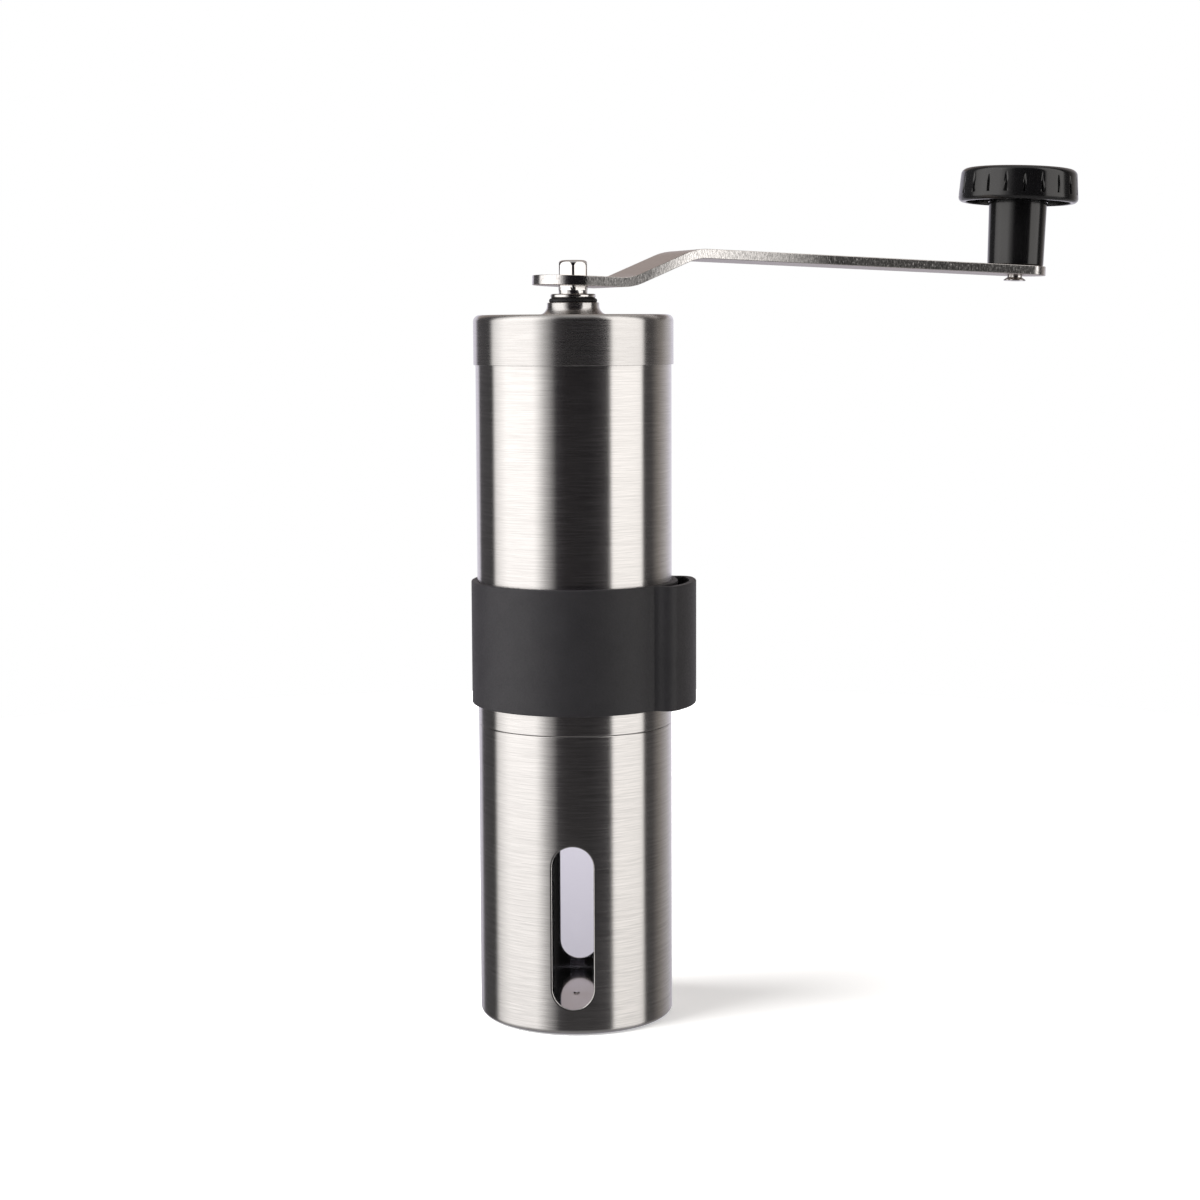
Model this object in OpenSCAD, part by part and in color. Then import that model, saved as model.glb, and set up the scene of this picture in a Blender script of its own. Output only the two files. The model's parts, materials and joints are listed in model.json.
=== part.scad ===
// Hand crank coffee grinder: a slim steel tube with a hopper above conical ceramic burrs and a cup below.
// Origin: centre of the ring it stands on. +Z is up; the two windows face -Y and +Y. Millimetres.

/* [Body] */
// Outer radius of the cup and of the hopper tube
body_r = 24; // [23.5:0.1:24.5]
// Thickness of the steel wall
wall = 0.6; // [0.5:0.05:0.7]
// Height of the cup's rim, where cup and tube part
cup_h = 73; // [72:0.5:74]
// Height of the hopper tube's top edge
tube_top = 172.1; // [171.5:0.1:172.1]
// Radius of the cup's bottom corner
foot_r = 1.3; // [1:0.1:2]
// Height of the cup's raised floor
floor_z = 3.6; // [3.2:0.1:4]

/* [Windows] */
// Width of each window slot
window_w = 10.2; // [9:0.1:11]
// Height of the lower end of the slots
window_low = 6.3; // [6:0.1:8]
// Height of the upper end of the slots
window_high = 46.3; // [44:0.1:48]

/* [Lid] */
// Height of the lid's lower edge
lid_rim = 161.35; // [160:0.05:163]
// Height of the lid's flat top
lid_top = 173.45; // [173.3:0.05:174]
// Outer radius of the lid
lid_r = 24.5; // [24.4:0.05:24.7]
// Height of the neck in the middle of the lid
neck_top = 176.4; // [175.5:0.1:176.4]

/* [Grip band] */
// Height of the band's lower edge
band_low = 78.1; // [76:0.1:80]
// Height of the band's upper edge
band_high = 108.4; // [106:0.1:112]
// Thickness of the band
band_t = 1.5; // [1.2:0.1:1.8]
// Direction of the crank loop, from +X
loop_angle = -10; // [-20:1:0]
// Distance from the axis to the loop's outer face
loop_out = 30.1; // [30:0.1:31]
// Width of the loop outside
loop_w = 26; // [24:0.1:27]
// Thickness of the loop's wall
loop_t = 1.8; // [1.5:0.1:2]
// Radius of the loop's outer face in plan
loop_face_r = 27; // [24:1:32]
// Outer radius of the loop's corners
loop_corner_r = 3.5; // [3:0.1:4]
// How far the loop's legs spread, in degrees
loop_spread = 15; // [0:1:20]

/* [Drive] */
// Radius of the shaft
shaft_r = 3; // [2.9:0.05:3.1]
// Width across the flats of the crank's hexagon
hex_af = 6.85; // [6.7:0.05:6.9]
// Height of the top of the hexagon
hex_top = 186.7; // [186:0.1:188]
// Height of the shoulder that the crank rests on
shoulder_z = 180.2; // [180:0.1:180.4]
// Direction of one corner of the hexagon, from +X
hex_angle = 32; // [0:1:60]

/* [Burrs] */
// Height of the underside of the outer burr
burr_low = 62; // [61.8:0.1:62]
// Height of the top of the outer burr
burr_high = 78; // [77.5:0.1:78]
// Outer radius of the outer burr
burr_r = 19; // [18.5:0.1:19.5]
// Radial gap between the burrs at the finest setting
burr_gap = 0.3; // [0.2:0.05:0.5]
// Number of teeth round each burr
burr_teeth = 14; // [10:1:16]

/* [Crank] */
// Distance between the shaft and the knob's pin
arm_len = 125.8; // [110:0.1:140]
// Radius of the round end at the knob
end_r = 8; // [7.5:0.1:9]
// Thickness of the bar
arm_t = 2.35; // [2:0.05:2.4]
// Radius of the round end on the shaft
hub_r = 10; // [9.5:0.1:10.5]
// Distance from the shaft to the lower bend
bend_low = 11.7; // [11:0.1:13]
// Distance from the shaft to the upper bend
bend_high = 28.8; // [27:0.1:30]
// How far the bar climbs between its bends
arm_rise = 7.8; // [7:0.1:9]
// Direction of the arm at rest, from +X
arm_angle = 24; // [15:1:35]
// How far the loose crank leans down towards its knob, in degrees
arm_lean = 2.1; // [1.5:0.1:2.5]

/* [Knob] */
// Height of the knob's stem
stem_h = 16.6; // [15:0.1:17]
// Radius of the stem at its foot
stem_r = 7.3; // [7:0.05:8]
// Radius of the knob's round cap
cap_r = 15.55; // [15:0.05:16.5]
// Height of the cap
cap_h = 9; // [8:0.1:9.5]
// Number of grip notches round the cap
notch_n = 20; // [16:1:24]

/* [Hidden] */
$fn = 96;

fit = 0.05;                        // radial play of a part that turns or slides
seam = 0.05;                       // gap between faces that rest on each other
eps = 0.01;                        // how far a cutting shape runs past a face
big = 400;                         // longer than the whole grinder
steel = "#b9b6b4";
black = "#1b1b1d";
bore_r = body_r - wall;            // inside of the cup and of the tube
collar_low = 61;
collar_top = 85;
collar_in = 22.7;
bracket_low = 150;
bracket_top = 156;
arms_n = 3;                        // arms of the bracket, spokes of the housing, retainer screws
housing_top = 92;
spoke_low = 84;
spoke_top = 90;
hub_low = 82;                      // underside of the housing's hub
screw_pitch_r = 20.85;
screw_head_low = 59.4;
retainer_low = 60.8;
washer_low = housing_top + 1 + seam;
washer_top = washer_low + 0.6;
groove_low = washer_top + seam;
clip_t = 0.7;
flat_af = 4;                       // across the two flats that turn the inner burr
flat_top = 80;
carrier_low = 60;
carrier_top = 74;
carrier_r = 5.5;
thread_low = 50.5;
dial_low = 51;
dial_r = 12.5;
dial_scallops = 18;
spring_top = hub_low - 0.6;
spring_wire = 0.5;
spring_r = 3.9;
spring_turns = 4;
flange_z = 177.5;                  // underside of the bright flange over the O-ring
groove_z = 176.2;                  // floor of the O-ring's groove
neck_r = 6.38;                     // the lid's neck, outside
neck_in = 5.95;                    //   and inside
cone_high = 79;                    // the inner burr's cone: upper end
cone_mid = 65;                     //   where its fine teeth begin
cone_high_r = 7;
cone_mid_r = 13.8;
cone_low_r = 14.3;
shank_r = 3.54;                    // round neck between the flange and the hexagon
step_low = 179.4;                  // where the hexagon's wider foot begins
corner_r = 3.76;                   // radius that the hexagon's corners are turned to
hub_mid = shoulder_z + arm_t / 2 * cos(arm_lean) + shank_r * sin(arm_lean) + seam;
pin_r = 1.95;
pin_head_z = 27.7;                 // top of the pin's head, above the middle of the bar's hub
arm_top = arm_rise + arm_t / 2;
stem_low = arm_top + 2 * seam;
stem_top = arm_top + stem_h;
spigot_top = stem_top + 4.4;

// 2D half plane x >= 0, to which every turned profile is cut.
module turned() {
    rotate_extrude() intersection() {
        children();
        translate([0, -1]) square([big, big]);
    }
}

// 2D rectangle from (x0, y0) to (x1, y1).
module box2(x0, y0, x1, y1) {
    translate([x0, y0]) square([x1 - x0, y1 - y0]);
}

// 2D rectangle with the same radius on all four corners.
module rounded2(x0, y0, x1, y1, r) {
    box2(x0 + r, y0, x1 - r, y1);
    box2(x0, y0 + r, x1, y1 - r);
    for (x = [x0 + r, x1 - r], y = [y0 + r, y1 - r]) translate([x, y]) circle(r);
}

// Plain ring or sleeve.
module ring(r_in, r_out, low, high) {
    translate([0, 0, low]) difference() {
        cylinder(r = r_out, h = high - low);
        translate([0, 0, -1]) cylinder(r = r_in, h = high - low + 2);
    }
}

// Copies spread evenly round the axis.
module around(n, start = 0) {
    for (i = [0 : n - 1]) rotate(start + i * 360 / n) children();
}

module cup_profile() {
    difference() {
        union() {
            box2(0, 0, body_r - foot_r, cup_h);
            box2(0, foot_r, body_r, cup_h);
            translate([body_r - foot_r, foot_r]) circle(foot_r);
        }
        box2(-1, wall, body_r - foot_r, cup_h + 1);
        box2(-1, foot_r, bore_r, cup_h + 1);
        translate([body_r - foot_r, foot_r]) circle(foot_r - wall);
        box2(-1, -1, 20.6, floor_z - wall);
        polygon([[body_r + eps, cup_h - 0.3], [body_r + eps, cup_h + eps], [body_r - 0.3, cup_h + eps]]);
    }
    difference() {
        union() {
            box2(0, 0, 20.6, floor_z);
            box2(0, 0, 21.2, floor_z - wall);
            translate([20.6, floor_z - wall]) circle(0.6);
            translate([0, floor_z - 0.55]) circle(0.9);
        }
        box2(-1, -1, 20.6, floor_z - wall);
    }
}

// The two windows: one straight cut with round ends, right across the cup.
module window_cut() {
    r = window_w / 2;
    rotate([90, 0, 0]) {
        for (z = [window_low + r, window_high - r]) translate([0, z, -30]) cylinder(r = r, h = 60);
        translate([-r, window_low + r, -30]) cube([window_w, window_high - window_low - window_w, 60]);
    }
}

module cup_shell() {
    color(steel) difference() {
        turned() cup_profile();
        window_cut();
    }
}

module window_liner() {
    color("#d8d4dc", 0.5) ring(22.3, bore_r - 0.1, 1.6, 58.5);
}

module hopper_tube() {
    color(steel) turned() difference() {
        box2(bore_r, cup_h + seam, body_r, tube_top);
        polygon([[body_r + eps, cup_h], [body_r + eps, cup_h + 0.3], [body_r - 0.25, cup_h]]);
    }
}

module joint_collar() {
    color(steel) turned() difference() {
        union() {
            box2(collar_in, collar_low, bore_r - 0.1, cup_h + seam);
            box2(collar_in, cup_h + seam, bore_r, collar_top);
        }
        polygon([[bore_r, collar_low - eps], [bore_r, collar_low + 0.6], [bore_r - 0.4, collar_low - eps]]);
    }
}

// Arms from the hub out to the ring, all in one flat layer.
module spokes(r_in, r_out, w, low, high, start) {
    around(arms_n, start) translate([r_in, -w / 2, low]) cube([r_out - r_in, w, high - low]);
}

module upper_bracket() {
    color(black) difference() {
        union() {
            ring(21.9, bore_r, bracket_low, bracket_top);
            translate([0, 0, bracket_low - 2]) cylinder(r = 6.5, h = bracket_top - bracket_low + 4);
            spokes(5, 22.2, 3, bracket_low, bracket_top, 90);
        }
        translate([0, 0, bracket_low - 3]) cylinder(r = 4, h = 20);
    }
}

module upper_bushing() {
    color("#cfcabd") ring(shaft_r + fit, 4, bracket_low - 2, bracket_top + 2);
}

module burr_housing() {
    color(black) difference() {
        union() {
            turned() difference() {
                box2(0, burr_low, collar_in, housing_top);
                polygon([[0, housing_top + eps], [20.5, housing_top + eps], [16, flat_top], [0, flat_top]]);
                box2(-1, burr_high - eps, 16, flat_top + eps);
                box2(-1, burr_low - 1, burr_r, burr_high);
            }
            translate([0, 0, hub_low]) cylinder(r = 7, h = housing_top - hub_low);
            spokes(6, 18.5, 3.2, spoke_low, spoke_top, 90);
        }
        translate([0, 0, hub_low - 1]) cylinder(r = 4.5, h = 20);
        around(arms_n, 30) translate([screw_pitch_r, 0, burr_low - 1]) cylinder(r = 1, h = 7);
    }
}

module lower_bushing() {
    color("#cfcabd") {
        ring(shaft_r + fit, 4.5, hub_low, housing_top);
        ring(shaft_r + fit, 5.5, housing_top, housing_top + 1);
    }
}

// Slanted grooves that leave teeth between them.
module grooves(n, r, low, high, slant, w, deep) {
    h = high - low;
    around(n) translate([r, 0, (low + high) / 2]) rotate([slant, 0, 0])
        translate([-deep, -w / 2, -h]) cube([2 * deep, w, 2 * h]);
}

module outer_burr() {
    color("#e9e5dc") difference() {
        turned() difference() {
            box2(0, burr_low, burr_r, burr_high);
            polygon([[0, burr_high + eps], [16, burr_high + eps], [12.2, 72.5],
                     [cone_mid_r + burr_gap, cone_mid], [cone_low_r + burr_gap, burr_low - eps],
                     [0, burr_low - eps]]);
        }
        grooves(burr_teeth, 14.6, burr_low, burr_high, -25, 1.2, 0.7);
    }
}

module burr_retainer() {
    color(steel) difference() {
        ring(15.5, 22.3, retainer_low, burr_low);
        around(arms_n, 30) translate([screw_pitch_r, 0, retainer_low - 1]) cylinder(r = 1.1, h = 4);
    }
}

module retainer_screws() {
    color("#9a9a9c") around(arms_n, 30) translate([screw_pitch_r, 0, 0]) difference() {
        union() {
            translate([0, 0, screw_head_low]) cylinder(r = 1.7, h = retainer_low - screw_head_low);
            translate([0, 0, retainer_low - eps]) cylinder(r = 0.98, h = 6.5);
        }
        for (a = [0, 90]) rotate(a) translate([-1.1, -0.2, screw_head_low - 1]) cube([2.2, 0.4, 1.7]);
    }
}

// Points along an arc round c, from angle a0 to a1.
function arc(c, r, a0, a1, n = 12) = [for (i = [0 : n]) let (a = a0 + (a1 - a0) * i / n) c + r * [cos(a), sin(a)]];

// Outline of the crank loop in plan, moved in by t: spread legs, round corners and a curved outer face.
function loop_outline(t) =
    let (corner_y = loop_w / 2 - loop_corner_r,
         far = loop_face_r - loop_corner_r,
         face = [loop_out - loop_face_r, 0],
         corner = face + [sqrt(far * far - corner_y * corner_y), -corner_y],
         turn = asin(corner_y / far),
         near = concat(arc(corner, loop_corner_r - t, -90 - loop_spread, -turn),
                       arc(face, loop_face_r - t, -turn, 0)),
         root = near[0] - 9 * [cos(loop_spread), -sin(loop_spread)],
         side = concat([root], near))
    concat(side, [for (i = [len(side) - 2 : -1 : 0]) [side[i][0], -side[i][1]]]);

// Plan of the crank loop: a frame that stands out from the band.
module loop_plan() {
    difference() {
        polygon(loop_outline(0));
        polygon(loop_outline(loop_t));
        circle(body_r);
    }
}

module grip_band() {
    color("#2a2829") difference() {
        translate([0, 0, band_low]) linear_extrude(band_high - band_low) {
            circle(body_r + band_t);
            rotate(loop_angle) loop_plan();
        }
        translate([0, 0, band_low - 1]) cylinder(r = body_r, h = band_high - band_low + 2);
    }
}

// Hexagon with turned corners and a domed top. Its foot is a little wider, and the crank rests on that.
module crank_hex() {
    dome = 1.3;
    translate([0, 0, shoulder_z - eps]) intersection() {
        rotate(hex_angle) cylinder(r = hex_af / 2 / cos(30), h = hex_top - shoulder_z, $fn = 6);
        turned() {
            box2(0, 0, corner_r - dome, hex_top - shoulder_z);
            box2(0, 0, corner_r, hex_top - shoulder_z - dome);
            translate([corner_r - dome, hex_top - shoulder_z - dome]) circle(dome);
        }
    }
    translate([0, 0, step_low]) intersection() {
        rotate(hex_angle) cylinder(r = shank_r / cos(30), h = shoulder_z - step_low, $fn = 6);
        cylinder(r = corner_r, h = 5);
    }
}

module shaft_profile() {
    box2(0, thread_low, 2.45, carrier_low);
    box2(0, carrier_low - eps, 2.5, flat_top + eps);
    box2(0, flat_top, shaft_r, groove_low);
    box2(0, groove_low - eps, 2.5, groove_low + 0.8 + eps);
    box2(0, groove_low + 0.8, shaft_r, 168 + eps);
    polygon([[0, 168], [shaft_r, 168], [5.4, 170], [0, 170]]);
    box2(0, 170 - eps, 5.4, groove_z);
    box2(0, groove_z - eps, 4.6, flange_z + eps);
    rounded2(-4, flange_z, 5.53, 178.5, 0.35);
    box2(0, 178, shank_r - eps, step_low + eps);
}

module drive_shaft() {
    color("#c9c7c6") {
        difference() {
            turned() shaft_profile();
            for (s = [0, 180]) rotate(s) translate([flat_af / 2, -5, thread_low - 1])
                cube([5, 10, flat_top - thread_low + 1]);
        }
        crank_hex();
    }
}

module shaft_o_ring() {
    section = (flange_z - groove_z) / 2;
    color(black) rotate_extrude() translate([4.6 + section, groove_z + section]) circle(section - eps);
}

module thrust_washer() {
    color("#c9c7c6") ring(shaft_r + fit, 6, washer_low, washer_top);
}

// Open clip in the shaft's groove: its mouth faces +X.
module retaining_clip() {
    color("#77767a") difference() {
        ring(2.52, 4.6, groove_low + fit, groove_low + clip_t);
        translate([0, -1.9, groove_low - 1]) cube([6, 3.8, 3]);
    }
}

module spring_washer() {
    color("#c9c7c6") ring(shaft_r + fit, 5, spring_top, spring_top + 0.55);
}

SPRING_SIDES = 8;
SPRING_STEPS = 18 * spring_turns;
spring_foot = carrier_top + spring_wire;
spring_climb = spring_top - carrier_top - 2 * spring_wire;

// Centre of the wire at step i, and one point on its skin at side j.
function spring_at(i) =
    [spring_r * cos(i * 20), spring_r * sin(i * 20), spring_foot + spring_climb * i / SPRING_STEPS];
function spring_skin(i, j) = spring_at(i) + (spring_wire - eps) * (
    cos(j * 360 / SPRING_SIDES) * [cos(i * 20), sin(i * 20), 0] + sin(j * 360 / SPRING_SIDES) * [0, 0, 1]);

module burr_spring() {
    n = SPRING_SIDES;
    m = SPRING_STEPS;
    points = [for (i = [0 : m], j = [0 : n - 1]) spring_skin(i, j)];
    sides = [for (i = [0 : m - 1], j = [0 : n - 1])
        [i * n + j, i * n + (j + 1) % n, (i + 1) * n + (j + 1) % n, (i + 1) * n + j]];
    ends = [[for (j = [0 : n - 1]) n - 1 - j], [for (j = [0 : n - 1]) m * n + j]];
    color("#a9a8aa") polyhedron(points, concat(sides, ends), convexity = 6);
}

module inner_burr() {
    color("#e9e5dc") difference() {
        turned() difference() {
            polygon([[0, burr_low], [cone_low_r, burr_low], [cone_mid_r, cone_mid],
                     [cone_high_r, cone_high], [6, flat_top], [0, flat_top]]);
            box2(-1, burr_low - 1, carrier_r, flat_top + 1);
        }
        around(burr_teeth) translate([11.4, 0, 70.5]) rotate([0, -26, 0]) rotate([32, 0, 0])
            translate([-0.8, -0.8, -14]) cube([3, 1.6, 28]);
    }
}

module burr_carrier() {
    color(black) difference() {
        union() {
            translate([0, 0, carrier_low]) cylinder(r = 9, h = burr_low - carrier_low);
            translate([0, 0, burr_low - eps]) cylinder(r = carrier_r, h = carrier_top - burr_low);
        }
        intersection() {
            translate([0, 0, carrier_low - 1]) cylinder(r = 2.5 + fit, h = 20);
            translate([-flat_af / 2 - fit, -5, carrier_low - 1]) cube([flat_af + 2 * fit, 10, 20]);
        }
        around(10) translate([7.4, 0, carrier_low - 0.1]) sphere(r = 0.8, $fn = 24);
    }
}

module adjust_dial() {
    color(black) difference() {
        turned() {
            rounded2(-4, dial_low, dial_r, dial_low + 6.5, 0.8);
            box2(0, dial_low + 5, 8.5, carrier_low - seam);
        }
        around(dial_scallops) translate([dial_r + 0.9, 0, dial_low - 1]) cylinder(r = 1.5, h = 20, $fn = 32);
        translate([0, 0, dial_low - 1]) cylinder(r = 3.5, h = 20);
        translate([0, 0, dial_low - eps]) ring(5, 10, 0, 1.2);
    }
}

module dial_insert() {
    color("#b99a55") ring(2.5, 3.5, dial_low, carrier_low - 2 * seam);
}

module hopper_lid() {
    skin = lid_r - body_r - fit;
    edge = 1.6;
    flare = 2.3;
    color(steel) turned() difference() {
        union() {
            box2(0, lid_rim, lid_r - edge, lid_top);
            box2(0, lid_rim, lid_r, lid_top - edge);
            translate([lid_r - edge, lid_top - edge]) circle(edge);
            difference() {
                box2(0, lid_top - skin, neck_r + flare, lid_top + flare);
                translate([neck_r + flare, lid_top + flare]) circle(flare);
            }
            box2(0, lid_top, neck_r, neck_top);
        }
        box2(-1, lid_rim - 1, lid_r - edge, lid_top - skin);
        box2(-1, lid_rim - 1, body_r + fit, lid_top - edge);
        translate([lid_r - edge, lid_top - edge]) circle(edge - skin);
        box2(-1, lid_rim, neck_in, neck_top + 1);
    }
}

// Everything on the crank is laid out along +X from the shaft, then turned, lifted and leaned into place.
module on_crank() {
    rotate(arm_angle) translate([0, 0, hub_mid]) rotate([0, arm_lean, 0]) children();
}

slope = atan(arm_rise / (bend_high - bend_low));
fold_low = 12;                     // radii of the bar's middle line in its bends
fold_high = 13;

// Side view of the bar: level hub, climb, level bar, with a round bend at each end of the climb.
module arm_side() {
    half = arm_t / 2;
    low = [bend_low - fold_low * tan(slope / 2), fold_low];
    high = [bend_high + fold_high * tan(slope / 2), arm_rise - fold_high];
    far = arm_len + 2 * end_r;
    under = concat([[-hub_r - 1, -half]], arc(low, fold_low + half, -90, slope - 90),
                   arc(high, fold_high - half, 90 + slope, 90), [[far, arm_rise - half]]);
    over = concat([[far, arm_rise + half]], arc(high, fold_high + half, 90, 90 + slope),
                  arc(low, fold_low - half, slope - 90, -90), [[-hub_r - 1, half]]);
    polygon(concat(under, over));
}

// Plan of the bar: it narrows from the round end on the shaft to the one at the knob.
module arm_plan() {
    tangent = 90 - asin((hub_r - end_r) / arm_len);
    polygon(concat(arc([arm_len, 0], end_r, -tangent, tangent, 32), arc([0, 0], hub_r, tangent, 360 - tangent, 36)));
}

module crank_arm() {
    color(steel) difference() {
        on_crank() difference() {
            intersection() {
                rotate([90, 0, 0]) translate([0, 0, -15]) linear_extrude(30) arm_side();
                translate([0, 0, -10]) linear_extrude(40) arm_plan();
            }
            translate([arm_len, 0, 0]) cylinder(r = pin_r, h = 30);
        }
        translate([0, 0, shoulder_z - 3]) rotate(hex_angle)
            cylinder(r = (hex_af / 2 + fit) / cos(30), h = 10, $fn = 6);
    }
}

// Riveted pin: a flared foot under the bar and a head inside the knob.
module knob_pin() {
    foot = arm_rise - arm_t / 2 - 1.5;
    color("#c9c7c6") on_crank() translate([arm_len, 0, 0]) turned() difference() {
        union() {
            box2(0, foot, pin_r, pin_head_z - 1);
            polygon([[0, foot], [2.9, foot], [2.9, foot + 0.25], [pin_r, foot + 0.9], [0, foot + 0.9]]);
            rounded2(-4, pin_head_z - 1.4, 3.8, pin_head_z, 0.5);
        }
        box2(-1, foot - 1, 1.3, foot + 3);
    }
}

module knob_stem() {
    color(black) on_crank() translate([arm_len, 0, 0]) turned() difference() {
        union() {
            polygon([[0, stem_low], [stem_r - 0.4, stem_low], [stem_r, stem_low + 0.4],
                     [stem_r + 0.25, stem_top], [0, stem_top]]);
            box2(0, stem_top - eps, 6, spigot_top);
        }
        box2(-1, stem_low - 1, pin_r + fit, spigot_top + 1);
        box2(-1, pin_head_z - 1.5, 4.2, spigot_top + 1);
    }
}

module cap_profile() {
    low = stem_top;
    top = stem_top + cap_h;
    difference() {
        union() {
            polygon([[0, low], [cap_r - 1.2, low], [cap_r - 0.7, top - 1.8], [cap_r - 2.4, top - 0.25], [0, top]]);
            polygon([[0, low + 1.2], [cap_r, low + 1.2], [cap_r - 0.6, top - 1.8], [0, top - 1.8]]);
            translate([cap_r - 1.2, low + 1.2]) circle(1.2);
            translate([cap_r - 2.4, top - 2.05]) circle(1.8);
        }
        box2(-1, low - 1, 6, spigot_top + seam);
        box2(stem_r + 1.6, low - 1, cap_r - 1.9, low + 2.4);
    }
}

module knob_cap() {
    notch_low = stem_top + 1.9;
    color(black) on_crank() translate([arm_len, 0, 0]) difference() {
        turned() cap_profile();
        rotate(180 / notch_n) around(notch_n) translate([cap_r - 0.05, 0, notch_low]) rotate([0, 4.5, 0])
            cylinder(r = 0.8, h = cap_h, $fn = 24);
    }
}

cup_shell();
window_liner();
hopper_tube();
joint_collar();
upper_bracket();
upper_bushing();
burr_housing();
lower_bushing();
outer_burr();
burr_retainer();
retainer_screws();
grip_band();
drive_shaft();
shaft_o_ring();
thrust_washer();
retaining_clip();
spring_washer();
burr_spring();
inner_burr();
burr_carrier();
adjust_dial();
dial_insert();
hopper_lid();
crank_arm();
knob_pin();
knob_stem();
knob_cap();
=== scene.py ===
"""Hand crank coffee grinder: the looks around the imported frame.

Everything is in metres, in the frame of the CAD model: the origin is the middle of the foot, and
the camera stands on the -Y side.
"""
import json
import math

import bmesh
import bpy
from mathutils import Matrix, Vector


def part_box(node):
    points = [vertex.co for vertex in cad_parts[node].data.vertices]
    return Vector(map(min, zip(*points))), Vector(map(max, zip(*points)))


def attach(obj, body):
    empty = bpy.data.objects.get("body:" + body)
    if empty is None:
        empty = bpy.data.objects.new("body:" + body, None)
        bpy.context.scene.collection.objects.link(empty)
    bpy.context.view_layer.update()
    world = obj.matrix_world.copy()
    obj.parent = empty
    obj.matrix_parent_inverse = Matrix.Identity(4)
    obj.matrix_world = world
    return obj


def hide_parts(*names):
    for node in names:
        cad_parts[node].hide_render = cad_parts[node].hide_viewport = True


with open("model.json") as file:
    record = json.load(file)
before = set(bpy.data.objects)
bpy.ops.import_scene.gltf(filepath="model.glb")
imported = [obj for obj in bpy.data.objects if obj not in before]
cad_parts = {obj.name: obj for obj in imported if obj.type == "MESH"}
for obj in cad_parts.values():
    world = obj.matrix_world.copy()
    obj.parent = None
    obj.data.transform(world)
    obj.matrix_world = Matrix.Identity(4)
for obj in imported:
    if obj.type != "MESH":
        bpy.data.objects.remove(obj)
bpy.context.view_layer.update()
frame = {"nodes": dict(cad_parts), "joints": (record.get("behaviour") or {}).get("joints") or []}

MM = 0.001
TAU = 2 * math.pi


# ---------------------------------------------------------------- sizes, from the frame where it has them

def low(node):
    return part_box(node)[0]


def high(node):
    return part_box(node)[1]


BODY_R = high("hopper_tube").y
WALL = 0.6 * MM
CUP_H = high("cup_shell").z
FOOT_R = 1.3 * MM
FLOOR_Z = 3.6 * MM
RING_R = 20.6 * MM
TUBE_LOW = low("hopper_tube").z
TUBE_TOP = high("hopper_tube").z
LID_R = high("hopper_lid").y
LID_LOW = low("hopper_lid").z
NECK_TOP = high("hopper_lid").z
LID_TOP = NECK_TOP - 2.95 * MM
NECK_R = 6.38 * MM
NECK_IN = 5.95 * MM
WINDOW_W = 10.2 * MM
WINDOW_LOW = 6.3 * MM
WINDOW_HIGH = 46.3 * MM
BAND_LOW = low("grip_band").z
BAND_HIGH = high("grip_band").z
BAND_R = -low("grip_band").x
LOOP_ANGLE = math.radians(-10)
LOOP_OUT = 30.1 * MM
LOOP_W = 26.0 * MM
LOOP_T = 1.8 * MM
LOOP_FACE = 27.0 * MM
LOOP_CORNER = 3.5 * MM
LOOP_SPREAD = 15

KNOB = next(j for j in frame["joints"] if j["name"] == "knob_spin")
KNOB_AXIS = Vector(KNOB["axis"]).normalized()
KNOB_POS = Vector(KNOB["pos_m"])
ARM_ANGLE = math.atan2(KNOB_AXIS.y, KNOB_AXIS.x)
LEAN = math.acos(KNOB_AXIS.z)
KNOB_TURN = Matrix.Rotation(ARM_ANGLE, 4, "Z") @ Matrix.Rotation(LEAN, 4, "Y")
KNOB_FRAME = Matrix.Translation(KNOB_POS) @ KNOB_TURN
ARM_HALF = 1.175 * MM
STEM_H = 16.6 * MM
STEM_R = 7.3 * MM
CAP_R = 15.55 * MM
CAP_H = 8.99 * MM
NOTCHES = 20


# ---------------------------------------------------------------- mesh helpers

def mesh_object(name, verts, faces, sharp=35):
    """A new mesh object, smooth except along edges that turn by more than the given angle."""
    mesh = bpy.data.meshes.new(name)
    mesh.from_pydata([tuple(v) for v in verts], [], faces)
    obj = bpy.data.objects.new(name, mesh)
    bpy.context.scene.collection.objects.link(obj)
    tidy_mesh(obj, sharp)
    return obj


def tidy_mesh(obj, sharp=35):
    """Merges doubled points, turns all faces outwards and shades the mesh smooth."""
    bm = bmesh.new()
    bm.from_mesh(obj.data)
    bmesh.ops.remove_doubles(bm, verts=bm.verts, dist=1e-7)
    bmesh.ops.recalc_face_normals(bm, faces=bm.faces)
    bm.to_mesh(obj.data)
    bm.free()
    obj.data.shade_smooth()
    obj.data.set_sharp_from_angle(angle=math.radians(sharp))
    weighted = obj.modifiers.new("weighted", "WEIGHTED_NORMAL")
    weighted.keep_sharp = True


def arc(cx, cy, r, start, end, n=6):
    """Points of an arc in a plane, angles in degrees."""
    turn = [math.radians(start + (end - start) * i / n) for i in range(n + 1)]
    return [(cx + r * math.cos(a), cy + r * math.sin(a)) for a in turn]


def lathe(name, profile, steps=192):
    """Turns a closed outline of (radius, height) points round the Z axis."""
    verts = []
    for i in range(steps):
        a = TAU * i / steps
        verts += [(r * math.cos(a), r * math.sin(a), z) for r, z in profile]
    n = len(profile)
    faces = []
    for i in range(steps):
        j = (i + 1) % steps
        for k in range(n):
            m = (k + 1) % n
            if profile[k][0] < 1e-9 and profile[m][0] < 1e-9:
                continue
            faces.append([i * n + k, j * n + k, j * n + m, i * n + m])
    return mesh_object(name, verts, faces)


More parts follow.
